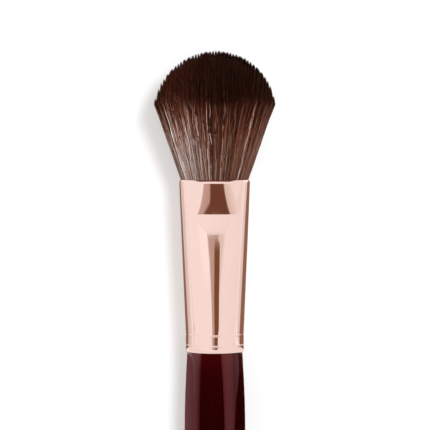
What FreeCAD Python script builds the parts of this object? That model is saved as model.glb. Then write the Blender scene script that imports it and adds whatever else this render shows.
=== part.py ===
import FreeCAD, Part

import math
import os

# Blush brush in millimetres. It is drawn upright, its axis on Z with level 0 at the lower
# rim of the ferrule, its width along X and its depth along Y, and is laid down at the end.

# Ferrule: one drawn tube, round at the handle and pressed oval towards the hair
FERRULE_LENGTH = 47.6
TUBE_RADIUS = 8.08
TUBE_WALL = 0.4
COLLAR_LENGTH = 5.6
RIM_ROUND = 0.5
RIM_TURN = 0.25
RIM_LAND = 0.25
GROOVE_LEVELS = (1.95, 4.85)
GROOVE_DEPTH = 0.1
GROOVE_WIDTH = 0.56

# Pinch: the die presses a facet into front and back that widens up to a level crease
CREASE_LEVEL = 38.4
CREASE_HALF_WIDTH = 9.46
CREASE_HALF_DEPTH = 7.2
CREASE_CORNER = 5.8
PINCH_DEPTH = 0.78
FACET_LENGTH = 6.1
FLARE_STEPS = 4

# Mouth: an oval band above the crease that ends in a rolled hem
MOUTH_HALF_WIDTH = 9.8
MOUTH_HALF_DEPTH = 6.2
MOUTH_CORNER = 6.4
HEM_THICKNESS = 0.75
HEM_HEIGHT = 0.85
HEM_ROUND = 0.55
BAND_STEPS = 2

# Handle: turned wood with a tenon that stands in the ferrule
HANDLE_LENGTH = 92.0
NECK_RADIUS = 7.7
NECK_BEVEL = 0.12
SWELL_RADIUS = 8.45
SWELL_DROP = 21.0
TAIL_RADIUS = 4.5
TAIL_PIECES = 4
BUTT_ROUND = 1.7
TENON_LENGTH = 16.0
TENON_CHAMFER = 0.6
TENON_FIT = 0.05
GLUE_FILM = 0.3

# Glue: a cast plug that holds the roots of the hair
PLUG_LENGTH = 11.0
PLUG_GAP = 0.04

# Hair: an oval bundle that swells out of the mouth, fans out and ends in a dome
HAIR_LENGTH = 35.9
HAIR_GAP = 0.1
SIDE_FAN_ANGLE = 19.0
FRONT_FAN_ANGLE = 16.2
MOUTH_SWELL = 0.42
SWELL_REACH = 1.3
DOME_HALF_WIDTH = 16.9
DOME_HALF_DEPTH = 12.3
DOME_HEIGHT = 16.9
LOCK_COUNT = 50
LOCK_DEPTH = 0.45
LOCK_DEPTH_AT_MOUTH = 0.12
LOCK_UNEVENNESS = 0.035
FAN_STATIONS = (0.0, 0.8, 1.8, 3.6, 8.0, 13.0, 20.0)

# Reach of the cutting blocks, well beyond the brush
BEYOND = 60.0


def corner_turn(half_width, half_depth, corner):
    """Tangent of half the turn of an oval's front where its side arc takes over smoothly."""
    total = half_width + half_depth
    root = total ** 2 - 4 * corner * (half_depth - half_width + corner)
    return (total - math.sqrt(root)) / (2 * corner)


def oval(level, form, inset=0.0):
    """Level outline of four arcs, drawn in all round, its front and back pressed flatter."""
    half_width, half_depth, corner, pressed = form
    turn = corner_turn(half_width, half_depth, corner)
    angle = 2 * math.atan(turn)
    corner_x = corner - inset * math.sin(angle)
    corner_y = half_depth - corner * turn - inset * math.cos(angle)
    side = half_width - inset
    front = half_depth - pressed - inset
    places = [
        (corner_x, -corner_y),
        (side, 0),
        (corner_x, corner_y),
        (0, front),
        (-corner_x, corner_y),
        (-side, 0),
        (-corner_x, -corner_y),
        (0, -front),
        (corner_x, -corner_y),
    ]
    points = [FreeCAD.Vector(x, y, level) for x, y in places]
    arcs = [Part.Arc(*points[start:start + 3]).toShape() for start in range(0, 8, 2)]
    return Part.Wire(arcs)


def collar_form():
    """The round end as an oval, split where its front has turned as far as the crease's."""
    turn = corner_turn(CREASE_HALF_WIDTH, CREASE_HALF_DEPTH, CREASE_CORNER)
    corner = TUBE_RADIUS * math.sin(2 * math.atan(turn))
    return TUBE_RADIUS, TUBE_RADIUS, corner, 0.0


def crease_form(pressed):
    return CREASE_HALF_WIDTH, CREASE_HALF_DEPTH, CREASE_CORNER, pressed


def mouth_form():
    return MOUTH_HALF_WIDTH, MOUTH_HALF_DEPTH, MOUTH_CORNER, 0.0


def ruled_tube(low_level, low, high_level, high, steps, inset):
    """Solid between two ovals, its size changing evenly with the level."""
    outlines = []
    for step in range(steps + 1):
        share = step / steps
        form = [first + share * (last - first) for first, last in zip(low, high)]
        outlines.append(oval(low_level + share * (high_level - low_level), form, inset))
    return Part.makeLoft(outlines, True, True)


def tube_half_depth(level):
    """Half depth of the unpressed tube between its collar and the crease."""
    share = (level - COLLAR_LENGTH) / (CREASE_LEVEL - COLLAR_LENGTH)
    return TUBE_RADIUS + share * (CREASE_HALF_DEPTH - TUBE_RADIUS)


def facet_cutter(inset):
    """Block behind the back facet: its face runs from the crease out to the round tube."""
    turn = corner_turn(CREASE_HALF_WIDTH, CREASE_HALF_DEPTH, CREASE_CORNER)
    centre_y = CREASE_HALF_DEPTH - PINCH_DEPTH
    sagitta = CREASE_CORNER * turn - PINCH_DEPTH
    radius = (CREASE_CORNER ** 2 + sagitta ** 2) / (2 * sagitta) - inset
    reach = CREASE_HALF_WIDTH
    reach_y = centre_y - inset - radius + math.sqrt(radius ** 2 - reach ** 2)
    face_arc = Part.Arc(
        FreeCAD.Vector(reach, reach_y, CREASE_LEVEL),
        FreeCAD.Vector(0, centre_y - inset, CREASE_LEVEL),
        FreeCAD.Vector(-reach, reach_y, CREASE_LEVEL),
    ).toShape()
    outside = Part.makePolygon([
        FreeCAD.Vector(-reach, reach_y, CREASE_LEVEL),
        FreeCAD.Vector(-reach, BEYOND, CREASE_LEVEL),
        FreeCAD.Vector(reach, BEYOND, CREASE_LEVEL),
        FreeCAD.Vector(reach, reach_y, CREASE_LEVEL),
    ])
    rise = (tube_half_depth(CREASE_LEVEL - FACET_LENGTH) - centre_y) / FACET_LENGTH
    drop = 2 * FACET_LENGTH
    section = Part.Face(Part.Wire([face_arc] + outside.Edges))
    return section.extrude(FreeCAD.Vector(0, rise * drop, -drop))


def front_of(shape):
    """The same shape turned half round the brush's axis."""
    turned = shape.copy()
    turned.rotate(FreeCAD.Vector(0, 0, 0), FreeCAD.Vector(0, 0, 1), 180)
    return turned


def tube_form(inset):
    """Solid form of the tube above its collar, drawn in by inset."""
    plain = crease_form(0.0)
    pressed = crease_form(PINCH_DEPTH)
    flare = ruled_tube(COLLAR_LENGTH, collar_form(), CREASE_LEVEL, plain, FLARE_STEPS, inset)
    cutter = facet_cutter(inset)
    flare = flare.cut(cutter).cut(front_of(cutter))
    hem_level = FERRULE_LENGTH - HEM_HEIGHT
    band = ruled_tube(CREASE_LEVEL, pressed, hem_level, mouth_form(), BAND_STEPS, inset)
    return flare.fuse(band).removeSplitter()


def between(shape, low, high):
    """The slice of a shape between two levels."""
    block = Part.makeBox(2 * BEYOND, 2 * BEYOND, high - low, FreeCAD.Vector(-BEYOND, -BEYOND, low))
    return shape.common(block)


def grooved_wall(radius, levels, rounded):
    """One face of the collar's wall, with its plain stretches between the rolled grooves."""
    edges = []
    start = FreeCAD.Vector(radius, 0, levels[0])
    for level in levels[1:-1]:
        side = math.copysign(GROOVE_WIDTH / 2, levels[-1] - levels[0])
        enter = FreeCAD.Vector(radius, 0, level - side)
        deepest = FreeCAD.Vector(radius - GROOVE_DEPTH, 0, level)
        leave = FreeCAD.Vector(radius, 0, level + side)
        edges.append(Part.makeLine(start, enter))
        if rounded:
            edges.append(Part.Arc(enter, deepest, leave).toShape())
        else:
            edges.extend(Part.makePolygon([enter, deepest, leave]).Edges)
        start = leave
    edges.append(Part.makeLine(start, FreeCAD.Vector(radius, 0, levels[-1])))
    return edges


def collar():
    """Round end of the tube: its rim turned in to the handle, and grooves rolled into it."""
    inner = TUBE_RADIUS - TUBE_WALL
    rim_inner = inner - RIM_TURN
    slant = RIM_ROUND * (1 - math.sqrt(0.5))
    outer_levels = [RIM_ROUND, *GROOVE_LEVELS, COLLAR_LENGTH]
    inner_levels = [COLLAR_LENGTH, *reversed(GROOVE_LEVELS), RIM_LAND + RIM_TURN]
    rim = Part.Arc(
        FreeCAD.Vector(TUBE_RADIUS - RIM_ROUND, 0, 0),
        FreeCAD.Vector(TUBE_RADIUS - slant, 0, slant),
        FreeCAD.Vector(TUBE_RADIUS, 0, RIM_ROUND),
    ).toShape()
    top = Part.makeLine(
        FreeCAD.Vector(TUBE_RADIUS, 0, COLLAR_LENGTH),
        FreeCAD.Vector(inner, 0, COLLAR_LENGTH),
    )
    turned_in = Part.makePolygon([
        FreeCAD.Vector(inner, 0, RIM_LAND + RIM_TURN),
        FreeCAD.Vector(rim_inner, 0, RIM_LAND),
        FreeCAD.Vector(rim_inner, 0, 0),
        FreeCAD.Vector(TUBE_RADIUS - RIM_ROUND, 0, 0),
    ])
    outer_wall = grooved_wall(TUBE_RADIUS, outer_levels, True)
    inner_wall = grooved_wall(inner, inner_levels, False)
    outline = Part.Wire([rim] + outer_wall + [top] + inner_wall + turned_in.Edges)
    return Part.Face(outline).revolve(FreeCAD.Vector(0, 0, 0), FreeCAD.Vector(0, 0, 1), 360)


def hem():
    """Rolled hem round the mouth: an oval ring whose lip is rounded towards the outside."""
    hem_level = FERRULE_LENGTH - HEM_HEIGHT
    bead = Part.Face(oval(hem_level, mouth_form())).extrude(FreeCAD.Vector(0, 0, HEM_HEIGHT))
    lip_edges = [
        edge for edge in bead.Edges
        if all(abs(vertex.Z - FERRULE_LENGTH) < 1e-4 for vertex in edge.Vertexes)
    ]
    opening = Part.Face(oval(0, mouth_form(), HEM_THICKNESS)).extrude(FreeCAD.Vector(0, 0, BEYOND))
    return bead.makeFillet(HEM_ROUND, lip_edges).cut(opening)


def ferrule():
    """Thin-walled tube: the grooved collar, the pinched flare, the band and its hem."""
    tube = tube_form(0).cut(tube_form(TUBE_WALL))
    return tube.fuse([collar(), hem()]).removeSplitter()


def handle_outline():
    """Half section of the turned handle, from the ferrule over the swell to the butt."""
    neck = Part.BezierCurve()
    neck.setPoles([
        FreeCAD.Vector(NECK_RADIUS, 0, -NECK_BEVEL),
        FreeCAD.Vector((NECK_RADIUS + SWELL_RADIUS) / 2, 0, -SWELL_DROP / 3),
        FreeCAD.Vector(SWELL_RADIUS, 0, -SWELL_DROP * 2 / 3),
        FreeCAD.Vector(SWELL_RADIUS, 0, -SWELL_DROP),
    ])
    taper = HANDLE_LENGTH - SWELL_DROP
    lean = (SWELL_RADIUS - TAIL_RADIUS) / 3
    tail = Part.BezierCurve()
    tail.setPoles([
        FreeCAD.Vector(SWELL_RADIUS, 0, -SWELL_DROP),
        FreeCAD.Vector(SWELL_RADIUS, 0, -SWELL_DROP - taper / 3),
        FreeCAD.Vector(TAIL_RADIUS + lean, 0, -SWELL_DROP - taper * 2 / 3),
        FreeCAD.Vector(TAIL_RADIUS, 0, -HANDLE_LENGTH),
    ])
    joints = [piece / TAIL_PIECES for piece in range(TAIL_PIECES + 1)]
    return [neck.toShape()] + [tail.toShape(*ends) for ends in zip(joints, joints[1:])]


def handle():
    """Turned handle with a rounded butt, and a tapered tenon up the inside of the ferrule."""
    bore = TUBE_RADIUS - TUBE_WALL - max(RIM_TURN, GROOVE_DEPTH)
    root_radius = bore - TENON_FIT
    tip_radius = tube_half_depth(TENON_LENGTH) - TUBE_WALL - GLUE_FILM
    ends = Part.makePolygon([
        FreeCAD.Vector(TAIL_RADIUS, 0, -HANDLE_LENGTH),
        FreeCAD.Vector(0, 0, -HANDLE_LENGTH),
        FreeCAD.Vector(0, 0, TENON_LENGTH),
        FreeCAD.Vector(tip_radius - TENON_CHAMFER, 0, TENON_LENGTH),
        FreeCAD.Vector(tip_radius, 0, TENON_LENGTH - TENON_CHAMFER),
        FreeCAD.Vector(root_radius, 0, 0),
        FreeCAD.Vector(NECK_RADIUS - NECK_BEVEL, 0, 0),
        FreeCAD.Vector(NECK_RADIUS, 0, -NECK_BEVEL),
    ])
    section = Part.Face(Part.Wire(handle_outline() + ends.Edges))
    body = section.revolve(FreeCAD.Vector(0, 0, 0), FreeCAD.Vector(0, 0, 1), 360)
    butt_edges = [
        edge for edge in body.Edges
        if edge.BoundBox.ZMax < BUTT_ROUND - HANDLE_LENGTH and edge.BoundBox.XMax > TAIL_RADIUS / 2
    ]
    return body.makeFillet(BUTT_ROUND, butt_edges)


def root_level():
    return TENON_LENGTH + PLUG_LENGTH


def root_glue():
    """Cast plug that fills the tube between the tenon and the roots of the hair."""
    return between(tube_form(TUBE_WALL + PLUG_GAP), TENON_LENGTH, root_level())


def lock_angles():
    """Angles of the clefts between the locks, spaced a little unevenly and the same on both sides."""
    angles = []
    for lock in range(LOCK_COUNT):
        even = 2 * math.pi * (lock + 0.5) / LOCK_COUNT
        angles.append(even + LOCK_UNEVENNESS * (math.sin(6 * even) + math.sin(22 * even)))
    return angles


def fan_outline(height, depth):
    """Outline of the hair at a height over the mouth, a ring of rounded locks."""
    swell = MOUTH_SWELL * (1 - math.exp(-height / SWELL_REACH))
    inset = HEM_THICKNESS + HAIR_GAP
    width = MOUTH_HALF_WIDTH - inset + swell + height * math.tan(math.radians(SIDE_FAN_ANGLE))
    front = MOUTH_HALF_DEPTH - inset + swell + height * math.tan(math.radians(FRONT_FAN_ANGLE))

    def place(angle, sunk):
        x = (width - sunk) * math.cos(angle)
        y = (front - sunk) * math.sin(angle)
        return FreeCAD.Vector(x, y, FERRULE_LENGTH + height)

    clefts = lock_angles()
    clefts.append(clefts[0] + 2 * math.pi)
    locks = []
    for start, end in zip(clefts, clefts[1:]):
        crown = place((start + end) / 2, 0)
        locks.append(Part.Arc(place(start, depth), crown, place(end, depth)).toShape())
    return Part.Wire(locks)


def dome():
    """Ellipsoid whose top is the end of the hair."""
    centre = FERRULE_LENGTH + HAIR_LENGTH - DOME_HEIGHT
    shape = FreeCAD.Matrix()
    shape.scale(DOME_HALF_WIDTH, DOME_HALF_DEPTH, DOME_HEIGHT)
    shape.move(FreeCAD.Vector(0, 0, centre))
    return Part.makeSphere(1.0).transformGeometry(shape)


def bristle_tuft():
    """Hair as one soft bundle: the roots in the ferrule, the fan of locks and its dome."""
    root_top = FERRULE_LENGTH - HEM_HEIGHT - HAIR_GAP
    roots = between(tube_form(TUBE_WALL + HAIR_GAP), root_level(), root_top)
    neck = Part.Face(oval(0, mouth_form(), HEM_THICKNESS + HAIR_GAP))
    neck = neck.extrude(FreeCAD.Vector(0, 0, BEYOND))
    neck = between(neck, root_top, FERRULE_LENGTH)
    heights = [*FAN_STATIONS, HAIR_LENGTH + DOME_HEIGHT]
    outlines = []
    for height in heights:
        share = min(1.0, height / FAN_STATIONS[-1])
        depth = LOCK_DEPTH_AT_MOUTH + share * (LOCK_DEPTH - LOCK_DEPTH_AT_MOUTH)
        outlines.append(fan_outline(height, depth))
    fan = Part.makeLoft(outlines, True, True)
    dome_level = FERRULE_LENGTH + HAIR_LENGTH - DOME_HEIGHT
    lower = between(fan, FERRULE_LENGTH, dome_level)
    upper = between(fan, dome_level, FERRULE_LENGTH + heights[-1]).common(dome())
    return roots.fuse([neck, lower, upper]).removeSplitter()


def underside(shape):
    """Level and depth of points on the back of a shape, which is the side that it lies on."""
    points = shape.tessellate(0.02)[0]
    return [(point.z, point.y) for point in points if point.y > 0]


def resting_line(front, rear):
    """Slope and offset of the line that touches two undersides, as the floor does."""

    def offset(points, slope):
        return max(depth - slope * level for level, depth in points)

    low = -1.0
    high = 1.0
    while high - low > 1e-9:
        slope = (low + high) / 2
        if offset(front, slope) > offset(rear, slope):
            low = slope
        else:
            high = slope
    return slope, offset(front, slope)


def laid_down(pieces):
    """The brush as it comes to rest, on the swell of its handle and the side of its head."""
    slope, offset = resting_line(underside(pieces["bristle_tuft"]), underside(pieces["handle"]))
    tilt = math.atan(slope)
    for piece in pieces.values():
        piece.rotate(FreeCAD.Vector(0, 0, 0), FreeCAD.Vector(1, 0, 0), math.degrees(tilt) - 90)
    box = Part.makeCompound(list(pieces.values())).optimalBoundingBox(True, False)
    rest = FreeCAD.Vector(0, -box.Center.y, offset * math.cos(tilt))
    for piece in pieces.values():
        piece.translate(rest)
    return pieces


def make_brush():
    pieces = {
        "handle": handle(),
        "ferrule": ferrule(),
        "root_glue": root_glue(),
        "bristle_tuft": bristle_tuft(),
    }
    return laid_down(pieces)


os.makedirs("parts", exist_ok=True)
for name, piece in make_brush().items():
    piece.exportStep("parts/" + name + ".step")
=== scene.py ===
import math
from collections import namedtuple

import bpy
import numpy as np
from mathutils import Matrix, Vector


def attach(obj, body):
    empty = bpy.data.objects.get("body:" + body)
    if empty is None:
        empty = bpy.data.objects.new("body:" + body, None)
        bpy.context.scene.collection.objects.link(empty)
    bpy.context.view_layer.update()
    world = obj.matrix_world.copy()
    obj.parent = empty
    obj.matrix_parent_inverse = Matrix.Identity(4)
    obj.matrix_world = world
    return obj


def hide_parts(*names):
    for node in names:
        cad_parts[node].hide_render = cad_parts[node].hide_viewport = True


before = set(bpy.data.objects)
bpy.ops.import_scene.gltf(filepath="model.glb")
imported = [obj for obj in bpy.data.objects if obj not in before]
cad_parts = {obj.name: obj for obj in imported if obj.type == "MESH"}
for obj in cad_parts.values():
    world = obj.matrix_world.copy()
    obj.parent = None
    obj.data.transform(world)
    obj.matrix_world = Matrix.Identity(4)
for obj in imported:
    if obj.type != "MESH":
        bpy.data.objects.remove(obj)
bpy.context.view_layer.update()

# Lengths are in millimetres until a mesh is made. The brush is drawn upright as in the CAD:
# level 0 at the lower rim of the ferrule, width along X, the side seen from above towards -Y.
MM = 0.001
# As it lies, the brush rises this much towards its head, and the middle of level 0 is here
TILT = math.radians(2.15914)
AXIS_START = np.array((0.0, 4.29191, 9.48547))

# Ferrule. A form is an oval's half width, its half depth, and how far out its front arc reaches.
FERRULE_LENGTH = 47.6
TUBE_RADIUS = 8.08
TUBE_WALL = 0.4
COLLAR_LENGTH = 5.6
RIM_ROUND = 0.5
RIM_TURN = 0.25
GROOVE_LEVELS = (1.95, 4.85)
GROOVE_DEPTH = 0.1
GROOVE_WIDTH = 0.56
CREASE_LEVEL = 38.4
CREASE_FORM = (9.46, 7.2, 5.8)
PINCH_DEPTH = 0.78
FACET_LENGTH = 6.1
FACET_FOOT = CREASE_LEVEL - FACET_LENGTH
MOUTH_FORM = (9.8, 6.2, 6.4)
HEM_THICKNESS = 0.75
HEM_HEIGHT = 0.85
HEM_ROUND = 0.55
HEM_LEVEL = FERRULE_LENGTH - HEM_HEIGHT
# The photograph shows the hem's top this much higher than the CAD has it
HEM_RISE = 0.28
HEM_TOP = FERRULE_LENGTH + HEM_RISE

# Mesh of the ferrule: steps along the side and the front of a quarter of an oval
SIDE_STEPS = 26
FRONT_STEPS = 44
# Rings round the rim, over each groove and up the taper
RIM_RINGS = 7
GROOVE_RINGS = 9
GROOVE_EDGE = 0.05
TAPER_END = FACET_FOOT - 1.5
TAPER_STEP = 1.2
# Rings that lead up to the facet's lower edge, and rings from there to the crease
FACET_START = FACET_FOOT - 1.4
FACET_END = CREASE_LEVEL - 0.02
FACET_EDGE_END = FACET_END - 0.06
FACET_SAMPLES = 160
FACET_RINGS_BELOW_EDGE = 24
FACET_RINGS_ABOVE_EDGE = 44
# How far to each side the facet's edge is looked for, and how far the facet presses the tube in
FACET_EDGE_REACH = CREASE_FORM[2] + 0.4
FACET_PRESS_REACH = CREASE_FORM[2] + 1.5
# Rings just over the crease, up the band and over the hem
OVER_CREASE = (0.02, 0.05, 0.1, 0.2, 0.4)
BAND_START = CREASE_LEVEL + 0.8
BAND_END = HEM_LEVEL - 0.1
BAND_STEP = 0.6
HEM_RINGS = 15
# The hem's lip on its inside: how far under the hem's top, and how much short of its thickness
HEM_LIP = ((0.03, 0.08), (0.1, 0.06))
# Rings down the wall inside
INNER_LEVELS = (43.0, CREASE_LEVEL, 35.0, 31.0, 20.0, COLLAR_LENGTH, RIM_ROUND)

# Bundle of hair
HAIR_LENGTH = 35.9
HAIR_GAP = 0.1
SIDE_FAN = math.tan(math.radians(19.0))
FRONT_FAN = math.tan(math.radians(16.2))
MOUTH_SWELL = 0.42
SWELL_REACH = 1.3
DOME_SIZE = (16.9, 12.3, 16.9)
DOME_LEAN = 0.025
DOME_HALVINGS = 30

# Hairs: how many, points along each, how far they sway, their radius, and the radius of their tips
HairKind = namedtuple("HairKind", "count points sway thinnest thickest tip")
LONG_HAIRS = HairKind(count=3600, points=9, sway=0.32, thinnest=0.07, thickest=0.125, tip=0.018)
DOME_HAIRS = HairKind(count=16000, points=3, sway=0.3, thinnest=0.05, thickest=0.08, tip=0.015)
# Halves of the bundle: where each begins to go round, and the seeds of its long hairs and its tips
HALVES = (("front", math.pi, 3, 8), ("back", 0.0, 4, 7))
# Long hairs fill the bundle from this share of its size outwards, and start this far from the mouth
LONG_FILL = 0.9
LONG_CROWDING = 0.7
LONG_START = -0.75
# Tips fill the bundle up to this share, and are so long in its middle and so much longer at its sides
DOME_FILL = 0.96
DOME_REACH = (4.5, 8.0)
SHORTEST_HAIR = 2.0
TAPER_REACH = 3.0
TAPER_POWER = 0.7
# Each wave of a hair: its length and its share of the sway. The length varies by the spread.
HAIR_WAVES = ((14.0, 0.6), (6.5, 0.4))
WAVE_SPREAD = 0.3
# Up to this height the hairs sway less than they do above it
CALM_REACH = 6.0
# No hair runs this way, so it tells a hair's sides
ASIDE = (0.31, 0.95, 0.05)
STRIP_SIDE_MARGIN = 0.15
STRIP_END_MARGIN = 0.05

# Locks, drawn in between by one depth at the mouth and another further up, and unevenly wide
LOCK_COUNT = 50
LOCK_DEPTHS = (0.12, 0.45)
LOCK_REACH = 20.0
LOCK_WAVES = ((0.0045, 6), (0.004, 22))
# Powers that keep the clefts between locks narrow, and keep them in the outermost hairs
CLEFT_POWER = 6
SKIN_POWER = 8

# Clumps of tips in loose rows, which wander by a share of the pitch
CLUMP_PITCH = 0.97
CLUMP_WANDER = 0.25
CLUMP_WAVES = (1.3, 0.55)
# How much shorter the hairs round a clump are, and how much a hair, a row and a clump vary
CLUMP_DEPTH = 0.3
CLUMP_POWER = 1.3
HAIR_SHORTER = 0.35
ROW_SHORTER = 0.09
CLUMP_SHORTER = 0.25
MEAN_SHORTER = 0.37
# How far down the hairs are drawn together, and how much
CLUMP_REACH = 5.0
CLUMP_PULL = 0.5
PULL_POWER = 1.5
# Random values for rows and clumps, and the steps from one to the next in each direction
CLUMP_SEED = 11
CLUMP_TABLE = 9973
CLUMP_STRIDES = (7919, 104729)
CLUMP_ORIGIN = 100
ROW_ORIGINS = (0, 60)

# Locks of one shade: a seed, how many go round, and their weight beside the hair's own shade
SHADE_LOCKS = ((21, 104, 0.28), (22, 190, 0.22))
OWN_SHADE = 0.5
LOCK_BLUR = 0.5
# Silver hairs by their place across the bundle, from its left side to its right
SILVER_PLACES = (-1.0, -0.7, -0.45, -0.2, 0.1, 0.5, 1.0)
SILVER_SCARCITY = (0.66, 0.7, 0.85, 1.9, 3.2, 2.0, 1.45)
SILVER_CONTRAST = (1.8, 1.9, 1.7, 1.3, 1.15, 0.95, 0.9)
SILVER_LEAST = (0.22, 0.3, 0.25, 0.1, 0.03, 0.0, 0.0)

# Form in the bundle, dark with painted shade, which fills so much of it, stays inside the dome and never
# closes quite
CORE_AROUND = 96
CORE_RINGS = 40
CORE_START = -0.8
CORE_END = HAIR_LENGTH - 1.6
CORE_FILL = (0.93, 0.9)
CORE_DOME = (DOME_SIZE[0] - 1.4, DOME_SIZE[1] - 1.4, DOME_SIZE[2] - 1.5)
CORE_LEAST = 0.2

# Studio: heights of the cards over the ferrule, over the handle and low beside both
CARD_HEIGHT = 90.0
SHADE_HEIGHT = CARD_HEIGHT + 0.5
HANDLE_CARD_HEIGHT = 19.6
LOW_HEIGHT = 0.4
# The handle's cards meet this far out at its side, and stop here, past its end
HANDLE_CARD_SIDE = 37
CARD_TAIL = -110
WHITE = (1.0, 1.0, 1.0)
BROWN = (0.158, 0.0615, 0.033)
# Colour of the cards that the ferrule reflects as the dark stripe down its tube
STRIPE_REFLECTION_BROWN = (0.2, 0.088, 0.045)
EDGE_BROWN = (0.29, 0.16, 0.11)
FLOOR_REACH = 4000.0

# Photograph: the point at its middle, how far it reaches, and the camera's height over it
VIEW_MIDDLE = (0.1, 42.27, 11.0)
VIEW_ROLL = math.radians(-0.08)
VIEW_REACH = 119.3
VIEW_HEIGHT = 758.0
SENSOR_WIDTH = 36.0


def laid(points):
    """Points of the upright drawing in their place on the floor, in metres."""
    points = np.asarray(points, dtype=float)
    along = points[..., 1] * math.sin(TILT) + points[..., 2] * math.cos(TILT)
    up = -points[..., 1] * math.cos(TILT) + points[..., 2] * math.sin(TILT)
    return (np.stack((points[..., 0], along, up), axis=-1) + AXIS_START) * MM


def mesh_object(name, points, faces, material):
    """A smooth object of one material in the scene."""
    mesh = bpy.data.meshes.new(name)
    mesh.from_pydata(points.tolist(), [], faces.tolist())
    mesh.polygons.foreach_set("use_smooth", np.ones(len(mesh.polygons), dtype=bool))
    mesh.materials.append(material)
    mesh.update()
    made = bpy.data.objects.new(name, mesh)
    bpy.context.scene.collection.objects.link(made)
    return made


def ring_faces(rings, around, closed):
    """Quads between rings of points that are numbered ring by ring."""
    ring = np.arange(rings if closed else rings - 1)[:, None]
    place = np.arange(around)[None, :]
    nxt = (place + 1) % around
    above = (ring + 1) % rings
    corners = (ring * around + place, ring * around + nxt, above * around + nxt, above * around + place)
    return np.stack(corners, axis=-1).reshape(-1, 4)


# Ferrule mesh

def front_tangent(width, depth, corner):
    """Tangent of half the angle from the middle of an oval's front to its corner."""
    total = width + depth
    return (total - math.sqrt(total ** 2 - 4 * corner * (depth - width + corner))) / (2 * corner)


def arcs(width, depth, corner, pressed):
    """Middle, radius and turn of a form's side arc and of its front arc, which is pressed in."""
    tangent = front_tangent(width, depth, corner)
    corner_y = depth - corner * tangent
    side_x = (width ** 2 - corner ** 2 - corner_y ** 2) / (2 * (width - corner))
    front = depth - pressed
    front_y = (front ** 2 - corner ** 2 - corner_y ** 2) / (2 * (front - corner_y))
    side_turn = math.pi / 2 - 2 * math.atan(tangent)
    front_turn = math.asin(corner / (front - front_y))
    return side_x, width - side_x, side_turn, front_y, front - front_y, front_turn


def quarter(form, inset):
    """A quarter of an oval, from its side to just short of the middle of its front."""
    side_x, side_radius, side_turn, front_y, front_radius, front_turn = arcs(*form)
    side = np.arange(SIDE_STEPS) / SIDE_STEPS * side_turn
    front = math.pi / 2 - front_turn * (1 - np.arange(FRONT_STEPS) / FRONT_STEPS)
    x = np.concatenate((
        side_x + (side_radius - inset) * np.cos(side),
        (front_radius - inset) * np.cos(front),
    ))
    y = np.concatenate((
        (side_radius - inset) * np.sin(side),
        front_y + (front_radius - inset) * np.sin(front),
    ))
    top = (0.0, front_y + front_radius - inset)
    return x, y, top


def oval(form, inset):
    """Outline of a form, drawn in by inset, once round from its right side over its back."""
    x, y, top = quarter(form, inset)
    right_back = np.stack((x, y), axis=-1)
    left_back = np.stack((-x, y), axis=-1)[:0:-1]
    back = np.concatenate((right_back, [top], left_back))
    front = np.stack((-back[:, 0], -back[:, 1]), axis=-1)
    return np.concatenate((back, front))


def blend_form(first, last, share):
    """A form on the way from one to another."""
    return [low + share * (high - low) for low, high in zip(first, last)]


def collar_form():
    """The collar's circle, parted into arcs where the oval at the crease is."""
    corner = TUBE_RADIUS * math.sin(2 * math.atan(front_tangent(*CREASE_FORM)))
    return TUBE_RADIUS, TUBE_RADIUS, corner, 0.0


def facet_depth(x, level):
    """Depth of the pinched facet at a level below the crease."""
    # Across, it is a shallow arc between the ends of the crease's front arc
    depth, corner = CREASE_FORM[1:]
    front_y, front_radius = arcs(*CREASE_FORM, 0.0)[3:5]
    centre = depth - PINCH_DEPTH
    end_y = front_y + math.sqrt(front_radius ** 2 - corner ** 2)
    sagitta = centre - end_y
    radius = (corner ** 2 + sagitta ** 2) / (2 * sagitta)
    share = (FACET_FOOT - COLLAR_LENGTH) / (CREASE_LEVEL - COLLAR_LENGTH)
    foot = TUBE_RADIUS + share * (depth - TUBE_RADIUS)
    rise = (foot - centre) / FACET_LENGTH
    return centre - radius + np.sqrt(radius ** 2 - x ** 2) + rise * (CREASE_LEVEL - level)


def tube_section(level, inset):
    """Outline of the ferrule at a level, drawn in by inset."""
    if level > CREASE_LEVEL:
        share = min(1.0, (level - CREASE_LEVEL) / (HEM_LEVEL - CREASE_LEVEL))
        return oval(blend_form((*CREASE_FORM, PINCH_DEPTH), (*MOUTH_FORM, 0.0), share), inset)
    share = max(0.0, (level - COLLAR_LENGTH) / (CREASE_LEVEL - COLLAR_LENGTH))
    return oval(blend_form(collar_form(), (*CREASE_FORM, 0.0), share), inset)


def pressed_in(outline, level, inset):
    """The outline with the facet pressed into its front and back."""
    x, y = outline[..., 0], outline[..., 1]
    pressed = np.minimum(np.abs(y), facet_depth(x, level) - inset)
    pressed = np.where(np.abs(x) < FACET_PRESS_REACH, pressed, np.abs(y))
    return np.stack((x, np.sign(y) * pressed), axis=-1)


def facet_edge(levels, sections):
    """Level at which each line up the ferrule meets the facet."""
    over = np.abs(sections[..., 1]) - facet_depth(sections[..., 0], levels[:, None])
    reached = (over > 0) & (np.abs(sections[..., 0]) < FACET_EDGE_REACH)
    edge = np.full(sections.shape[1], FACET_EDGE_END)
    for place in range(sections.shape[1]):
        crossed = np.nonzero(reached[:, place])[0]
        if len(crossed) and crossed[0] > 0:
            upper = crossed[0]
            under, past = over[upper - 1:upper + 1, place]
            met = levels[upper - 1] + under / (under - past) * (levels[1] - levels[0])
            edge[place] = min(met, FACET_EDGE_END)
    return edge


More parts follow.
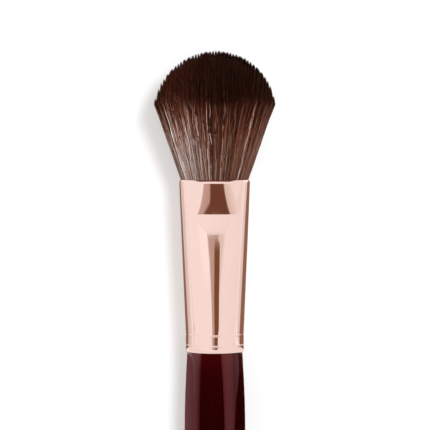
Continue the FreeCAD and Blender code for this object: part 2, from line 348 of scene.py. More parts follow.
def facet_rings():
    """Rings of points over the facet, and which of them follows the facet's edge."""
    levels = np.linspace(FACET_START, FACET_END, FACET_SAMPLES)
    sections = np.array([tube_section(level, 0.0) for level in levels])
    edge = facet_edge(levels, sections)
    below, above = FACET_RINGS_BELOW_EDGE, FACET_RINGS_ABOVE_EDGE
    rings = []
    for step in range(below + above + 1):
        if step <= below:
            level = FACET_START + (edge - FACET_START) * step / below
        else:
            level = edge + (FACET_END - edge) * (step - below) / above
        outline = np.stack([
            [np.interp(level[place], levels, sections[:, place, axis]) for place in range(len(edge))]
            for axis in (0, 1)], axis=-1)
        if step > below:
            outline = pressed_in(outline, level, 0.0)
        rings.append(np.column_stack((outline, level)))
    return rings, below


def lower_stations():
    """Levels and insets up the outside to the facet, closely spaced where the form turns."""
    stations = []
    for turn in np.linspace(0, math.pi / 2, RIM_RINGS):
        stations.append((RIM_ROUND * (1 - math.cos(turn)), RIM_ROUND * (1 - math.sin(turn))))
    reach = GROOVE_WIDTH / 2
    for middle in GROOVE_LEVELS:
        stations.append((middle - reach - GROOVE_EDGE, 0.0))
        for share in np.linspace(-1, 1, GROOVE_RINGS):
            stations.append((middle + share * reach, GROOVE_DEPTH * (1 - share ** 2)))
        stations.append((middle + reach + GROOVE_EDGE, 0.0))
    stations += [(level, 0.0) for level in np.arange(COLLAR_LENGTH, TAPER_END, TAPER_STEP)]
    return stations


def upper_stations():
    """Levels and insets from the crease over the hem."""
    stations = [(CREASE_LEVEL + step, 0.0) for step in OVER_CREASE]
    stations += [(level, 0.0) for level in np.arange(BAND_START, BAND_END, BAND_STEP)]
    for turn in np.linspace(0, math.pi / 2, HEM_RINGS):
        level = HEM_LEVEL + (HEM_TOP - HEM_LEVEL) * math.sin(turn)
        stations.append((level, HEM_ROUND * (1 - math.cos(turn))))
    return stations


def inner_stations():
    """Levels and insets down the inside, from the hem to the turned-in rim."""
    stations = [(HEM_TOP - drop, HEM_THICKNESS - short) for drop, short in HEM_LIP]
    stations += [(HEM_LEVEL, HEM_THICKNESS), (HEM_LEVEL, TUBE_WALL)]
    stations += [(level, TUBE_WALL) for level in INNER_LEVELS]
    stations += [(RIM_TURN, TUBE_WALL + RIM_TURN), (0.0, TUBE_WALL + RIM_TURN)]
    return stations


def section_ring(level, inset):
    """Points round the ferrule at a level, inside or outside its wall."""
    outline = tube_section(level, inset)
    if inset and FACET_FOOT < level <= CREASE_LEVEL:
        outline = pressed_in(outline, level, inset)
    return np.column_stack((outline, np.full(len(outline), level)))


def ferrule_shell(material):
    """The whole tube in one closed mesh, up the outside, over the hem and down the inside."""
    rings = [section_ring(*station) for station in lower_stations()]
    facet, edge = facet_rings()
    edge += len(rings)
    rings += facet
    rings += [section_ring(*station) for station in upper_stations() + inner_stations()]
    around = len(rings[0])
    points = laid(np.concatenate(rings))
    made = mesh_object("ferrule_shell", points, ring_faces(len(rings), around, True), material)
    # The facet's lower edge is a crisp fold
    ends = np.zeros(2 * len(made.data.edges), dtype=int)
    made.data.edges.foreach_get("vertices", ends)
    ends = ends.reshape(-1, 2)
    near = np.abs(points[ends, 0]) < CREASE_FORM[2] * MM
    folded = np.all((ends // around == edge) & near, axis=1)
    made.data.edges.foreach_set("use_edge_sharp", folded)
    return made


# Hair

def fan_size(height):
    """Half width and half depth of the bundle at a height over the mouth."""
    above = np.maximum(height, 0)
    swell = MOUTH_SWELL * (1 - np.exp(-above / SWELL_REACH))
    inset = HEM_THICKNESS + HAIR_GAP
    return MOUTH_FORM[0] - inset + swell + above * SIDE_FAN, MOUTH_FORM[1] - inset + swell + above * FRONT_FAN


def dome_height(share_x, share_y):
    """Height over the mouth at which a hair of the fan reaches the dome."""
    low = np.full(share_x.shape, HAIR_LENGTH - DOME_SIZE[2])
    high = np.full(share_x.shape, HAIR_LENGTH)
    for _ in range(DOME_HALVINGS):
        middle = (low + high) / 2
        width, depth = fan_size(middle)
        x = share_x * width
        y = share_y * depth
        rise = (middle - HAIR_LENGTH + DOME_SIZE[2] - DOME_LEAN * x) / DOME_SIZE[2]
        outside = (x / DOME_SIZE[0]) ** 2 + (y / DOME_SIZE[1]) ** 2 + rise ** 2 > 1
        high = np.where(outside, middle, high)
        low = np.where(outside, low, middle)
    return low


def fibre_mesh(name, paths, radii, shades, material):
    """Three-sided fibres along paths, (fibres, points, 3), with a radius for each point.

    Each fibre has two shades: the first is its colour's, the second tells where its dye begins."""
    count, rings = paths.shape[:2]
    along = np.gradient(paths, axis=1)
    along /= np.linalg.norm(along, axis=-1, keepdims=True)
    side = np.cross(along, np.array(ASIDE))
    side /= np.linalg.norm(side, axis=-1, keepdims=True)
    other = np.cross(along, side)
    start = shades[:, 0] * 2 * math.pi
    corners = []
    for corner in range(3):
        turn = start + corner * 2 * math.pi / 3
        offset = np.cos(turn)[:, None, None] * side + np.sin(turn)[:, None, None] * other
        corners.append(paths + offset * radii[..., None])
    points = laid(np.stack(corners, axis=2).reshape(-1, 3))
    # No hair goes through the floor
    points[:, 2] = np.maximum(points[:, 2], 0.0)
    single = ring_faces(rings, 3, False)
    faces = (single[None] + (np.arange(count) * rings * 3)[:, None, None]).reshape(-1, 4)
    made = mesh_object(name, points, faces, material)
    # Red is the first shade, green the height over the mouth and blue the second shade
    data = np.ones((count, rings, 3, 4))
    data[..., 0] = shades[:, 0][:, None, None]
    data[..., 1] = ((paths[..., 2] - FERRULE_LENGTH) / HAIR_LENGTH)[..., None]
    data[..., 2] = shades[:, 1][:, None, None]
    colours = made.data.attributes.new("fibre", "FLOAT_COLOR", "POINT")
    colours.data.foreach_set("color", data.reshape(-1))
    fibre_map(made.data, single, count, rings)
    return made


def fibre_map(mesh, single, count, rings):
    """Bake map in which every fibre has a narrow strip of its own."""
    columns = math.ceil(math.sqrt(count * 3))
    rows = math.ceil(count / columns)
    number = np.arange(count)
    left = (number % columns)[:, None, None]
    low = (number // columns)[:, None, None]
    across = (np.array((0, 1, 1, 0))[None, :] + (np.arange(len(single)) % 3)[:, None])[None] / 3
    along = (single // 3)[None] / (rings - 1)
    u = (left + STRIP_SIDE_MARGIN + (1 - 2 * STRIP_SIDE_MARGIN) * across) / columns
    v = (low + STRIP_END_MARGIN + (1 - 2 * STRIP_END_MARGIN) * along) / rows
    uv = np.stack((u, v), axis=-1)
    layer = mesh.uv_layers.new(name="OFBake")
    layer.data.foreach_set("uv", uv.reshape(-1))


def lock_sink(angle, height):
    """How far the bundle is drawn in between two locks."""
    wave = angle + sum(amount * np.sin(times * angle) for amount, times in LOCK_WAVES)
    cleft = np.abs(np.cos(wave * LOCK_COUNT / 2)) ** CLEFT_POWER
    mouth, full = LOCK_DEPTHS
    return (mouth + (full - mouth) * np.clip(height / LOCK_REACH, 0, 1)) * cleft


def hair_paths(rng, share, angle, height_start, kind):
    """Centre lines of hairs from a height in the bundle to the dome."""
    end = dome_height(share * np.cos(angle), share * np.sin(angle))
    count = len(share)
    start = np.minimum(height_start, end - SHORTEST_HAIR)
    steps = np.linspace(0, 1, kind.points)[None, :]
    height = start[:, None] + (end - start)[:, None] * steps
    sway = np.zeros((count, kind.points))
    dip = np.zeros((count, kind.points))
    for reach, amount in HAIR_WAVES:
        phase = rng.random((2, count, 1)) * 2 * math.pi
        length = reach * (1 - WAVE_SPREAD + 2 * WAVE_SPREAD * rng.random((count, 1)))
        sway += amount * np.sin(2 * math.pi * height / length + phase[0])
        dip += amount * np.sin(2 * math.pi * height / length + phase[1])
    width, depth = fan_size(height)
    # Close to the mouth the hairs are held still, and only the outermost follow the locks
    swing = kind.sway * np.clip(height / CALM_REACH, 0, 1) / width
    drawn = share[:, None] - np.abs(dip) * swing / 2
    drawn -= share[:, None] ** SKIN_POWER * lock_sink(angle[:, None], height) / width
    turned = angle[:, None] + sway * swing
    x = drawn * np.cos(turned) * width
    y = drawn * np.sin(turned) * depth
    paths = np.stack((x, y, height + FERRULE_LENGTH), axis=-1)
    return clumped(rng, paths, end)


def clumped(rng, paths, end):
    """Draws the tips together into small pointed clumps of uneven length, in loose rows."""
    tips = paths[:, -1]
    table = np.random.default_rng(CLUMP_SEED).random((CLUMP_TABLE, 3))
    away = np.zeros((len(paths), 2))
    shorter = HAIR_SHORTER * rng.random(len(paths))
    number = np.zeros(len(paths), dtype=int)
    for axis in (0, 1):
        waves = np.sin(tips[:, axis] * CLUMP_WAVES[0] + axis)
        waves += np.sin(tips[:, 1 - axis] * CLUMP_WAVES[1] + axis)
        place = tips[:, axis] / CLUMP_PITCH + CLUMP_WANDER * waves
        cell = np.floor(place).astype(int)
        offset = place - cell - 0.5
        away[:, axis] = -offset * CLUMP_PITCH
        shorter += CLUMP_DEPTH * np.abs(2 * offset) ** CLUMP_POWER
        shorter += ROW_SHORTER * table[(cell + ROW_ORIGINS[axis]) % CLUMP_TABLE, axis]
        number += (cell + CLUMP_ORIGIN) * CLUMP_STRIDES[axis]
    shorter += CLUMP_SHORTER * table[number % CLUMP_TABLE, 2]
    steps = np.linspace(0, 1, paths.shape[1])
    length = (end + FERRULE_LENGTH - paths[:, 0, 2])[:, None]
    pull = np.clip(1 - (1 - steps)[None, :] * length / CLUMP_REACH, 0, 1) ** PULL_POWER
    paths[..., :2] += CLUMP_PULL * pull[..., None] * away[:, None, :]
    paths[..., 2] -= (shorter - MEAN_SHORTER)[:, None] * pull
    return paths


def hair_layer(name, rng, share, angle, start, kind, material):
    """Hairs from a height in the bundle to the dome, each tapering over its last millimetres."""
    paths = hair_paths(rng, share, angle, start, kind)
    thickness = kind.thinnest + (kind.thickest - kind.thinnest) * rng.random(kind.count)
    left = paths[:, -1:, 2] - paths[..., 2]
    taper = np.clip(left / TAPER_REACH, 0, 1) ** TAPER_POWER
    radii = kind.tip + (thickness[:, None] - kind.tip) * taper
    return fibre_mesh(name, paths, radii, hair_shades(rng, angle, share), material)


def long_hairs(name, turn, seed, material):
    """The outer layers of a half: whole hairs from inside the mouth to the dome."""
    rng = np.random.default_rng(seed)
    count = LONG_HAIRS.count
    share = LONG_FILL + (1 - LONG_FILL) * rng.random(count) ** LONG_CROWDING
    angle = rng.random(count) * math.pi + turn
    return hair_layer(name, rng, share, angle, np.full(count, LONG_START), LONG_HAIRS, material)


def dome_hairs(name, turn, seed, material):
    """The tips inside the outer layers of a half, which make the velvety dome."""
    rng = np.random.default_rng(seed)
    count = DOME_HAIRS.count
    share = np.sqrt(rng.random(count)) * DOME_FILL
    angle = rng.random(count) * math.pi + turn
    end = dome_height(share * np.cos(angle), share * np.sin(angle))
    start = end - DOME_REACH[0] - DOME_REACH[1] * share ** 4
    return hair_layer(name, rng, share, angle, start, DOME_HAIRS, material)


def hair_shades(rng, angle, share):
    """Two random values a hair: its shade, which neighbours partly share, and one of its own."""
    own = rng.random((len(angle), 2))
    shade = OWN_SHADE * own[:, 0]
    for seed, locks, weight in SHADE_LOCKS:
        table = np.random.default_rng(seed).random(locks)
        # Each lock is set off against its neighbours
        table += 0.5 - (np.roll(table, 1) + np.roll(table, -1)) / 2
        place = angle / (2 * math.pi) * locks + LOCK_BLUR * rng.random(len(angle))
        shade += weight * table[place.astype(int) % locks]
    # Towards the left side of the bundle the hairs are lighter and more of them silver, towards its right
    # darker
    across = share * np.cos(angle)
    contrast = np.interp(across, SILVER_PLACES, SILVER_CONTRAST)
    own[:, 0] = np.clip(0.5 + contrast * (shade - 0.5), 0, 1)
    own[:, 0] **= np.interp(across, SILVER_PLACES, SILVER_SCARCITY)
    least = np.interp(across, SILVER_PLACES, SILVER_LEAST)
    own[:, 0] = least + (1 - least) * own[:, 0]
    return own


def hair_core(material):
    """Form just under the hairs, so that no light comes through the bundle, coloured near-black as painted
    shade.
    """
    angle = np.arange(CORE_AROUND) * 2 * math.pi / CORE_AROUND
    rings = []
    for height in np.linspace(CORE_START, CORE_END, CORE_RINGS):
        rise = max(0.0, height - HAIR_LENGTH + DOME_SIZE[2]) / CORE_DOME[2]
        limit = math.sqrt(max(0.0, 1 - rise ** 2))
        width, depth = (
            min(size * fill, max(CORE_LEAST, limit * dome))
            for size, fill, dome in zip(fan_size(height), CORE_FILL, CORE_DOME))
        level = np.full(CORE_AROUND, height + FERRULE_LENGTH)
        rings.append(np.column_stack((width * np.cos(angle), depth * np.sin(angle), level)))
    points = laid(np.concatenate(rings))
    return mesh_object("hair_core", points, ring_faces(len(rings), CORE_AROUND, False), material)


# Materials

def new_material(name):
    """A material, its nodes and their links."""
    material = bpy.data.materials.new(name)
    material.use_nodes = True
    return material, material.node_tree.nodes, material.node_tree.links


def streaks(nodes, links, across, along, detail=3.0):
    """Noise in fine streaks that run along the brush."""
    place = nodes.new("ShaderNodeTexCoord")
    mapping = nodes.new("ShaderNodeMapping")
    mapping.inputs["Scale"].default_value = (across, along, across)
    noise = nodes.new("ShaderNodeTexNoise")
    noise.inputs["Detail"].default_value = detail
    noise.inputs["Scale"].default_value = 1.0
    links.new(place.outputs["Object"], mapping.inputs["Vector"])
    links.new(mapping.outputs["Vector"], noise.inputs["Vector"])
    return noise.outputs["Fac"]


def ranged(nodes, links, value, low, high, from_low=0.0, from_high=1.0):
    """A value carried over from one range to another, and held within it."""
    node = nodes.new("ShaderNodeMapRange")
    node.inputs["From Min"].default_value = from_low
    node.inputs["From Max"].default_value = from_high
    node.inputs["To Min"].default_value = low
    node.inputs["To Max"].default_value = high
    links.new(value, node.inputs["Value"])
    return node.outputs["Result"]


def colour_ramp(nodes, links, value, stops):
    """Colours for a value, each from its own place on."""
    node = nodes.new("ShaderNodeValToRGB")
    elements = node.color_ramp.elements
    while len(elements) < len(stops):
        elements.new(0.5)
    for element, (position, colour) in zip(elements, stops):
        element.position = position
        element.color = (*colour, 1.0)
    links.new(value, node.inputs["Fac"])
    return node.outputs["Color"]


def mixed(nodes, links, share, first, second, blend="MIX"):
    """Two colours mixed. They and their share are plain values or come from other nodes."""
    node = nodes.new("ShaderNodeMix")
    node.data_type = "RGBA"
    node.blend_type = blend
    for socket, given in ((node.inputs["Factor"], share), (node.inputs[6], first), (node.inputs[7], second)):
        if isinstance(given, bpy.types.NodeSocket):
            links.new(given, socket)
        elif isinstance(given, tuple):
            socket.default_value = (*given, 1.0)
        else:
            socket.default_value = given
    return node.outputs[2]


def worked_out(nodes, links, operation, first, second):
    """Two values put through a sum such as SUBTRACT or MAXIMUM."""
    node = nodes.new("ShaderNodeMath")
    node.operation = operation
    links.new(first, node.inputs[0])
    links.new(second, node.inputs[1])
    return node.outputs[0]


def rippled(nodes, links, height, strength, depth, shader):
    """Tiny waves in a surface, with their depth in metres."""
    bump = nodes.new("ShaderNodeBump")
    bump.inputs["Strength"].default_value = strength
    bump.inputs["Distance"].default_value = depth
    links.new(height, bump.inputs["Height"])
    links.new(bump.outputs["Normal"], shader.inputs["Normal"])


def rose_metal():
    """Polished rose gold plating with the faint lines of drawing and polishing."""
    material, nodes, links = new_material("rose_metal")
    shader = nodes["Principled BSDF"]
    shader.inputs["Metallic"].default_value = 1.0
    lines = streaks(nodes, links, 2600.0, 60.0)
    cloud = streaks(nodes, links, 160.0, 60.0, 2.0)
    colour = colour_ramp(nodes, links, cloud, (
        (0.3, (0.925, 0.675, 0.612)),
        (0.7, (0.945, 0.7, 0.64)),
    ))
    links.new(colour, shader.inputs["Base Color"])
    links.new(ranged(nodes, links, lines, 0.045, 0.085), shader.inputs["Roughness"])
    rippled(nodes, links, lines, 0.02, 0.00002, shader)
    return material


def handle_lacquer():
    """Dark burgundy lacquer, with wood grain hardly seen under a glossy coat."""
    material, nodes, links = new_material("handle_lacquer")
    shader = nodes["Principled BSDF"]
    grain = streaks(nodes, links, 900.0, 30.0, 4.0)
    colour = colour_ramp(nodes, links, grain, (
        (0.3, (0.012, 0.0003, 0.0005)),
        (0.7, (0.018, 0.0005, 0.0007)),
    ))
    links.new(colour, shader.inputs["Base Color"])
    shader.inputs["Specular IOR Level"].default_value = 0.85
    shader.inputs["Specular Tint"].default_value = (1.0, 0.04, 0.06, 1.0)
    shader.inputs["Coat Weight"].default_value = 0.55
    shader.inputs["Coat Roughness"].default_value = 0.03
    ripple = streaks(nodes, links, 260.0, 120.0, 1.0)
    links.new(ranged(nodes, links, ripple, 0.05, 0.09), shader.inputs["Roughness"])
    rippled(nodes, links, ripple, 0.05, 0.00004, shader)
    return material


def cured_glue():
    """Amber glue, a little cloudy."""
    material, nodes, links = new_material("cured_glue")
    shader = nodes["Principled BSDF"]
    cloud = streaks(nodes, links, 300.0, 300.0)
    colour = colour_ramp(nodes, links, cloud, (
        (0.3, (0.5, 0.38, 0.2)),
        (0.7, (0.66, 0.54, 0.34)),
    ))
    links.new(colour, shader.inputs["Base Color"])
    shader.inputs["Roughness"].default_value = 0.45
    return material


def soft_hair():
    """Mixed brown and silver grey hairs whose tips are dyed dark."""
    material, nodes, links = new_material("soft_hair")
    shader = nodes["Principled BSDF"]
    data = nodes.new("ShaderNodeAttribute")
    data.attribute_name = "fibre"
    parts = nodes.new("ShaderNodeSeparateColor")
    links.new(data.outputs["Color"], parts.inputs["Color"])
    shade, height, own = (parts.outputs[name] for name in ("Red", "Green", "Blue"))
    body = colour_ramp(nodes, links, shade, (
        (0.0, (0.045, 0.02, 0.013)),
        (0.15, (0.09, 0.041, 0.028)),
        (0.3, (0.24, 0.076, 0.036)),
        (0.42, (0.155, 0.078, 0.054)),
        (0.54, (0.19, 0.122, 0.1)),
        (0.7, (0.38, 0.27, 0.23)),
        (0.86, (0.64, 0.56, 0.535)),
        (1.0, (0.95, 0.93, 0.925)),
    ))
    tips = colour_ramp(nodes, links, shade, (
        (0.0, (0.009, 0.0023, 0.0012)),
        (0.5, (0.025, 0.006, 0.0026)),
        (1.0, (0.11, 0.025, 0.0115)),
    ))
    # Less light reaches the roots
    depth = ranged(nodes, links, height, 1.0, 0.0, 0.0, 0.4)
    body = mixed(nodes, links, depth, body, (0.73, 0.67, 0.64), "MULTIPLY")
    # The dye begins at a height that differs from hair to hair: a warm brown, then nearly black
    begin = ranged(nodes, links, own, 0.1, 0.5)
    above = worked_out(nodes, links, "SUBTRACT", height, begin)
    brown = ranged(nodes, links, above, 0.0, 1.0, -0.12, 0.16)
    black = ranged(nodes, links, above, 0.0, 1.0, 0.08, 0.26)
    warm = mixed(nodes, links, 1.0, body, (0.62, 0.3, 0.2), "MULTIPLY")
    dyed = mixed(nodes, links, brown, body, warm)
    links.new(mixed(nodes, links, black, dyed, tips), shader.inputs["Base Color"])
    shader.inputs["Roughness"].default_value = 0.45
    shader.inputs["Specular IOR Level"].default_value = 0.2
    shader.inputs["Specular Tint"].default_value = (1.0, 0.55, 0.36, 1.0)
    return material


def core_painted_shade():
    """Painted shade of the bundle's depth between the hairs, near-black with faint streaks."""
    material, nodes, links = new_material("hair_depth_painted_shade")
    shader = nodes["Principled BSDF"]
    lines = streaks(nodes, links, 3000.0, 60.0)
    # Near-black painted shade, faintly lighter in streaks along the hairs
    colour = colour_ramp(nodes, links, lines, (
        (0.35, (0.012, 0.005, 0.004)),
        (0.65, (0.035, 0.015, 0.01)),
    ))
    links.new(colour, shader.inputs["Base Color"])
    shader.inputs["Roughness"].default_value = 0.8
    shader.inputs["Specular IOR Level"].default_value = 0.1
    return material


# Studio

def card_line(across, along, up):
    """Points of a card, where a plain number counts for all of them."""
    return np.stack(np.broadcast_arrays(across, along, up), axis=-1)


def plain_card(name, *lines):
    """A sheet that only reflections see, like a studio's flags.

    Each line is a colour, or a colour for each point, and its points."""
    material, nodes, links = new_material(name)
    nodes.remove(nodes["Principled BSDF"])
    emission = nodes.new("ShaderNodeEmission")
    emission.inputs["Strength"].default_value = 1.0
    shades = nodes.new("ShaderNodeAttribute")
    shades.attribute_name = "shade"
    links.new(shades.outputs["Color"], emission.inputs["Color"])
    links.new(emission.outputs["Emission"], nodes["Material Output"].inputs["Surface"])
    count = len(lines[0][1])
    colours = np.ones((len(lines), count, 4))
    for row, (colour, _) in enumerate(lines):
        colours[row, :, :3] = colour
    points = np.concatenate([points for _, points in lines]) * MM
    place = np.arange(len(lines) - 1)[:, None] * count + np.arange(count - 1)[None, :]
    faces = np.stack((place, place + 1, place + count + 1, place + count), axis=-1).reshape(-1, 4)
    made = mesh_object(name, points, faces, material)
    shade = made.data.attributes.new("shade", "FLOAT_COLOR", "POINT")
    shade.data.foreach_set("color", colours.reshape(-1))
    made.visible_camera = False
    made.visible_diffuse = False
    made.visible_shadow = False
    made.visible_transmission = False


def tube_flags():
    """The dark stripe down the tube, which ends ragged under the facet."""
    levels = (-8, -1.2, 5.7, 14.7, 26.8, 30)
    left = (-2.2, -1.8, -1.2, -2.6, -1.1, -0.8)
    right = (14.5, 16, 21.1, 19.4, 19.5, 19.2)
    plain_card(
        "flag_tube",
        (STRIPE_REFLECTION_BROWN, card_line(left, levels, CARD_HEIGHT)),
        (STRIPE_REFLECTION_BROWN, card_line(right, levels, CARD_HEIGHT)),
    )
    across = (-0.8, 3.7, 6.4, 11, 13.5, 16, 19.2)
    ragged = (30.3, 34.2, 32.4, 33.7, 32.4, 33.1, 31.5)
    plain_card(
        "flag_ragged",
        (STRIPE_REFLECTION_BROWN, card_line(across, levels[-1], CARD_HEIGHT)),
        ((0.36, 0.24, 0.185), card_line(across, ragged, CARD_HEIGHT)),
    )


def band_flag():
    """The dark patch above the crease, which fades to the right."""
    levels = (40, 41.1, 43.2, 43.9, 44.7, 46.7, 50, 53)
    left = (-27, -26.5, -20.5, -14.5, -9.8, -9.6, -11.8, -11.8)
    right = np.array((25, 25, 25.4, 26, 26.2, 25.8, 24, 24))
    plain_card(
        "flag_band",
        (BROWN, card_line(left, levels, CARD_HEIGHT)),
        (BROWN, card_line(right, levels, CARD_HEIGHT)),
        ((0.72, 0.65, 0.59), card_line(right + 1, levels, CARD_HEIGHT)),
        ((0.9, 0.85, 0.81), card_line(right + 24, levels, CARD_HEIGHT)),
        ((0.93, 0.88, 0.85), card_line(300, levels, CARD_HEIGHT)),
    )


def shade_flags():
    """Half shades beside the stripe and the patch: deep next to them, light or tan further out."""
    light, deep, tan = (0.58, 0.46, 0.41), (0.48, 0.35, 0.285), (0.8, 0.74, 0.69)
    levels = (-8, -1.2, 5.7, 14.7, 26.8, 31.3, 34.5)
    left = (-14.5, -14.5, -13, -15.1, -20.2, -24.6, -27.5)
    right = np.array((5, 5, 5, 5, 5, 9, 14))
    tan_right = np.array((5.1, 5.1, 5.1, 12, 24, 30, 33))
    plain_card(
        "flag_shade",
        (light, card_line(left, levels, SHADE_HEIGHT)),
        (deep, card_line(right, levels, SHADE_HEIGHT)),
        (tan, card_line(right + 0.1, levels, SHADE_HEIGHT)),
        (tan, card_line(tan_right, levels, SHADE_HEIGHT)),
        ((0.96, 0.95, 0.945), card_line(tan_right + 12, levels, SHADE_HEIGHT)),
    )
    levels = (39, 41.5, 44, 53)
    left = (-25.5, -25.5, -28.5, -30.2)
    plain_card(
        "flag_band_shade",
        (light, card_line(left, levels, SHADE_HEIGHT)),
        (deep, card_line(-5, (39, 41, 44, 53), SHADE_HEIGHT)),
    )


def gleam_flag():
    """Light that is a little stronger than white, for the gleam left of the stripe."""
    gleam = (1.1, 1.08, 1.07)
    plain_card(
        "flag_gleam",
        ([WHITE, gleam, gleam], card_line((-84, -62, -30), 40.4, CARD_HEIGHT)),
        ([WHITE, gleam, gleam], card_line((-78, -56, -28), 33.4, CARD_HEIGHT)),
        ([WHITE, gleam, gleam], card_line((-74, -52, -26), 28, CARD_HEIGHT)),
        (WHITE, card_line((-70, -48, -22), 18, CARD_HEIGHT)),
    )


def edge_flags():
    """Flags low beside the ferrule and past its mouth, for its edge lines and the top of its hem."""
    plain_card(
        "flag_hem",
        (BROWN, card_line((-8, 8), 56, 17.4)),
        (BROWN, card_line((-8, 8), 56, 24)),
    )
    beside = (4.2, 56)
    plain_card(
        "flag_right",
        (EDGE_BROWN, card_line(10.2, beside, LOW_HEIGHT)),
        (EDGE_BROWN, card_line(34, beside, LOW_HEIGHT)),
        ((0.78, 0.75, 0.73), card_line(35, beside, LOW_HEIGHT)),
        ((0.95, 0.94, 0.93), card_line(160, (0, 80), LOW_HEIGHT)),
    )
    plain_card(
        "flag_left",
        (EDGE_BROWN, card_line(-9.9, beside, LOW_HEIGHT)),
        (EDGE_BROWN, card_line((-22, -20), beside, LOW_HEIGHT)),
        ((0.7, 0.66, 0.63), card_line((-23, -21), beside, LOW_HEIGHT)),
        (WHITE, card_line(-90, (0, 80), LOW_HEIGHT)),
    )


def window_light(level):
    """Colour of a window as the lacquer mirrors it, which is the redder the dimmer it is."""
    return level, level ** 2 / (level + 0.1), level ** 2 / (level + 0.09)


def handle_flags():
    """Black flags close round the handle, for the deep bands between its soft highlights."""
    levels = (4, -1, -8, -17, CARD_TAIL)
    left = (-8.2, -8.8, -9.5, -9.9, -10.1)
    right = (2.95, 3.6, 4.2, 4.9, 5.6)
    black = [(0.33, 0.03, 0.04), (0.13, 0.012, 0.02)] + [window_light(level) for level in (0.04, 0.01, 0.005)]
    plain_card("flag_handle", *(
        (colour, card_line((first, last), y, HANDLE_CARD_HEIGHT))
        for colour, first, last, y in zip(black, left, right, levels)))
    # The window on the left fades into the black band, most softly far down the handle
    out = np.array((0, 2, 5, 17, 200))
    fade = (
        (0.3, 0.7, 1.2, 1.3, 1.3),
        (0.12, 0.34, 0.72, 0.86, 0.84),
        (0.1, 0.4, 0.62, 0.8, 0.8),
        (0.05, 0.32, 0.56, 0.76, 0.78),
        (0.05, 0.32, 0.56, 0.76, 0.78),
    )
    plain_card("flag_handle_soft", *(
        ([window_light(share) for share in shares], card_line(first - out, y, HANDLE_CARD_HEIGHT))
        for shares, first, y in zip(fade, left, levels)))
    # The black band's card bends down on the right to one low beside the handle
    side_levels = (3.6, -2, -10, -20, CARD_TAIL)
    side_heights = (0.4, 0.4, 14.2, 20.4, 21.0)
    dark = [(0.15, 0.05, 0.045), (0.04, 0.008, 0.008)] + 3 * [window_light(0.01)]
    plain_card("flag_handle_side", *(
        (colour, card_line((9.8, HANDLE_CARD_SIDE), y, (LOW_HEIGHT, up)))
        for colour, y, up in zip(dark, side_levels, side_heights)))
    # The window on the right is brightest close to the ferrule
    brightness = (1.3, 1.02, 0.9, 0.86, 0.86)
    bands = (0.6, 0.95, 0.97, 0.84, 0.68, 0.5, 0.42)
    rows = []
    for bright, last, y, side_y, up in zip(brightness, right, levels, side_levels, side_heights):
        across = (last + 0.05, last + 1.6, last + 4, 15, 27, HANDLE_CARD_SIDE, HANDLE_CARD_SIDE + 0.1)
        along = 6 * (y,) + (side_y,)
        heights = 3 * (HANDLE_CARD_HEIGHT,) + (19.9, 20.5, 21.1, up)
        rows.append(([window_light(bright * share) for share in bands], card_line(across, along, heights)))
    plain_card("flag_handle_right", *rows)


def low_handle_flag():
    """The wide reddish reflection low on the left of the handle."""
    # A colour, and where its line is across, begins along and is up
    lines = (
        ((0.24, 0.06, 0.065), -9.8, 3.6, LOW_HEIGHT),
        ((0.29, 0.085, 0.09), -13.2, 3.6, LOW_HEIGHT),
        ((0.55, 0.26, 0.27), -22, 3.2, LOW_HEIGHT),
        ((0.64, 0.41, 0.42), -37, 2.5, LOW_HEIGHT),
        ((0.7, 0.51, 0.52), -80, 0, LOW_HEIGHT),
        ((0.68, 0.54, 0.55), -400, -28, LOW_HEIGHT),
        ((0.68, 0.54, 0.55), -401, -28, 60),
    )
    plain_card("flag_handle_left", *(
        (colour, card_line(x, (y, CARD_TAIL), up)) for colour, x, y, up in lines))


def rim_wall():
    """A wall round the handle at the rim, which keeps the black flags out of the collar."""
    pale = (0.95, 0.93, 0.92)
    spokes = []
    for angle in np.linspace(-125, 125, 51):
        up, out = math.cos(math.radians(angle)), math.sin(math.radians(angle))
        # It reaches to the cards over the handle, to the floor, or as far out as the cards at the side
        room = 10.2 if up > 0 else 9.1
        reach = min(HANDLE_CARD_SIDE / max(abs(out), 0.1), room / max(abs(up), 0.01))
        radii = np.array((7.85, 9.0, 9.6, reach))
        near = pale if abs(angle) < 87 else EDGE_BROWN
        spokes.append(([near, near, pale, pale], card_line(radii * out, 4.05, 9.5 + radii * up)))
    plain_card("wall_rim", *spokes)


def floor():
    """White floor that takes the soft shadow."""
    material, nodes, links = new_material("floor")
    shader = nodes["Principled BSDF"]
    shader.inputs["Roughness"].default_value = 0.9
    shader.inputs["Specular IOR Level"].default_value = 0.0
    cloud = streaks(nodes, links, 3.0, 3.0, 1.0)
    colour = colour_ramp(nodes, links, cloud, (
        (0.0, (0.872, 0.87, 0.869)),
        (1.0, (0.88, 0.878, 0.877)),
    ))
    links.new(colour, shader.inputs["Base Color"])
    # Part of the white that the camera and the mirrors see is the floor's own, so shadows stay soft
    path = nodes.new("ShaderNodeLightPath").outputs
    seen = worked_out(nodes, links, "MAXIMUM", path["Is Camera Ray"], path["Is Glossy Ray"])
    emission = nodes.new("ShaderNodeEmission")
    emission.inputs["Color"].default_value = (1.0, 0.99, 0.985, 1.0)
    emission.inputs["Strength"].default_value = 1.0
    blend = nodes.new("ShaderNodeMixShader")
    links.new(ranged(nodes, links, seen, 0.0, 0.42), blend.inputs["Fac"])
    links.new(shader.outputs["BSDF"], blend.inputs[1])
    links.new(emission.outputs["Emission"], blend.inputs[2])
    links.new(blend.outputs["Shader"], nodes["Material Output"].inputs["Surface"])
    corners = np.array([(-1, -1, 0), (1, -1, 0), (1, 1, 0), (-1, 1, 0)]) * FLOOR_REACH * MM
    mesh_object("floor", corners, np.array([[0, 1, 2, 3]]), material)


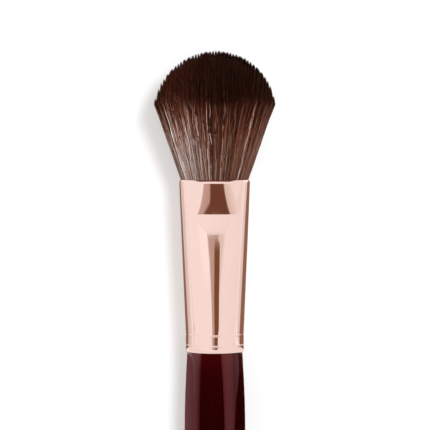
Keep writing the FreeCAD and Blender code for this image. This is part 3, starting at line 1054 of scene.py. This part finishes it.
def studio_world():
    """White surroundings, dimmer to the right: one white for the mirrors, another to light the brush."""
    world = bpy.data.worlds.new("studio")
    bpy.context.scene.world = world
    world.use_nodes = True
    nodes, links = world.node_tree.nodes, world.node_tree.links
    background = nodes["Background"]
    path = nodes.new("ShaderNodeLightPath").outputs
    seen = worked_out(nodes, links, "MAXIMUM", path["Is Camera Ray"], path["Is Glossy Ray"])
    seen = worked_out(nodes, links, "MAXIMUM", seen, path["Is Transmission Ray"])
    links.new(ranged(nodes, links, seen, 0.76, 1.0), background.inputs["Strength"])
    place = nodes.new("ShaderNodeTexCoord")
    parts = nodes.new("ShaderNodeSeparateXYZ")
    links.new(place.outputs["Generated"], parts.inputs["Vector"])
    sideways = ranged(nodes, links, parts.outputs["X"], 0.0, 1.0, -1.0, 1.0)
    mirrored = colour_ramp(nodes, links, sideways, (
        (0.0, (1.0, 1.0, 1.0)),
        (0.52, (1.0, 0.995, 0.99)),
        (0.62, (0.95, 0.94, 0.935)),
        (0.75, (0.98, 0.97, 0.965)),
        (1.0, (0.95, 0.94, 0.935)),
    ))
    ambient = colour_ramp(nodes, links, sideways, (
        (0.0, (1.0, 0.93, 0.88)),
        (1.0, (0.45, 0.425, 0.405)),
    ))
    links.new(mixed(nodes, links, seen, ambient, mirrored), background.inputs["Color"])


def lamp(name, place, aim, size, power, colour):
    """A round lamp that neither the camera nor the mirrors see."""
    data = bpy.data.lights.new(name, "AREA")
    data.shape = "DISK"
    data.size = size * MM
    data.energy = power
    data.color = colour
    made = bpy.data.objects.new(name, data)
    bpy.context.scene.collection.objects.link(made)
    place = Vector(place)
    made.location = place * MM
    made.rotation_mode = "QUATERNION"
    made.rotation_quaternion = (Vector(aim) - place).to_track_quat("-Z", "Y")
    made.visible_glossy = False
    made.visible_camera = False


def camera():
    """The photograph's view, straight down on the head and the ferrule."""
    data = bpy.data.cameras.new("camera")
    data.sensor_fit = "HORIZONTAL"
    data.sensor_width = SENSOR_WIDTH
    data.lens = SENSOR_WIDTH * VIEW_HEIGHT / VIEW_REACH
    data.clip_start = 0.01
    data.clip_end = 50.0
    made = bpy.data.objects.new("camera", data)
    bpy.context.scene.collection.objects.link(made)
    across, along, up = VIEW_MIDDLE
    made.location = (across * MM, along * MM, (up + VIEW_HEIGHT) * MM)
    made.rotation_euler = (0.0, 0.0, VIEW_ROLL)
    bpy.context.scene.camera = made


def studio():
    floor()
    studio_world()
    middle = (0, 40, 10)
    lamp("key", (262, 300, 820), middle, size=240, power=5.2, colour=(0.95, 1.0, 1.05))
    lamp("fill", (250, 60, 1100), middle, size=900, power=3.6, colour=(1.0, 0.99, 0.985))
    tube_flags()
    band_flag()
    shade_flags()
    gleam_flag()
    edge_flags()
    handle_flags()
    low_handle_flag()
    rim_wall()


bpy.context.scene.view_settings.view_transform = "Standard"
camera()
studio()

shell = ferrule_shell(rose_metal())
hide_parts("ferrule")
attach(shell, "root")

for node, material in (("handle", handle_lacquer()), ("root_glue", cured_glue())):
    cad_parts[node].data.materials.clear()
    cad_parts[node].data.materials.append(material)

hair = soft_hair()
hair_pieces = [hair_core(core_painted_shade())]
for half, turn, long_seed, tip_seed in HALVES:
    hair_pieces.append(long_hairs("hair_" + half, turn, long_seed, hair))
    hair_pieces.append(dome_hairs("hair_tips_" + half, turn, tip_seed, hair))
for piece in hair_pieces:
    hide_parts("bristle_tuft")
    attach(piece, "root")
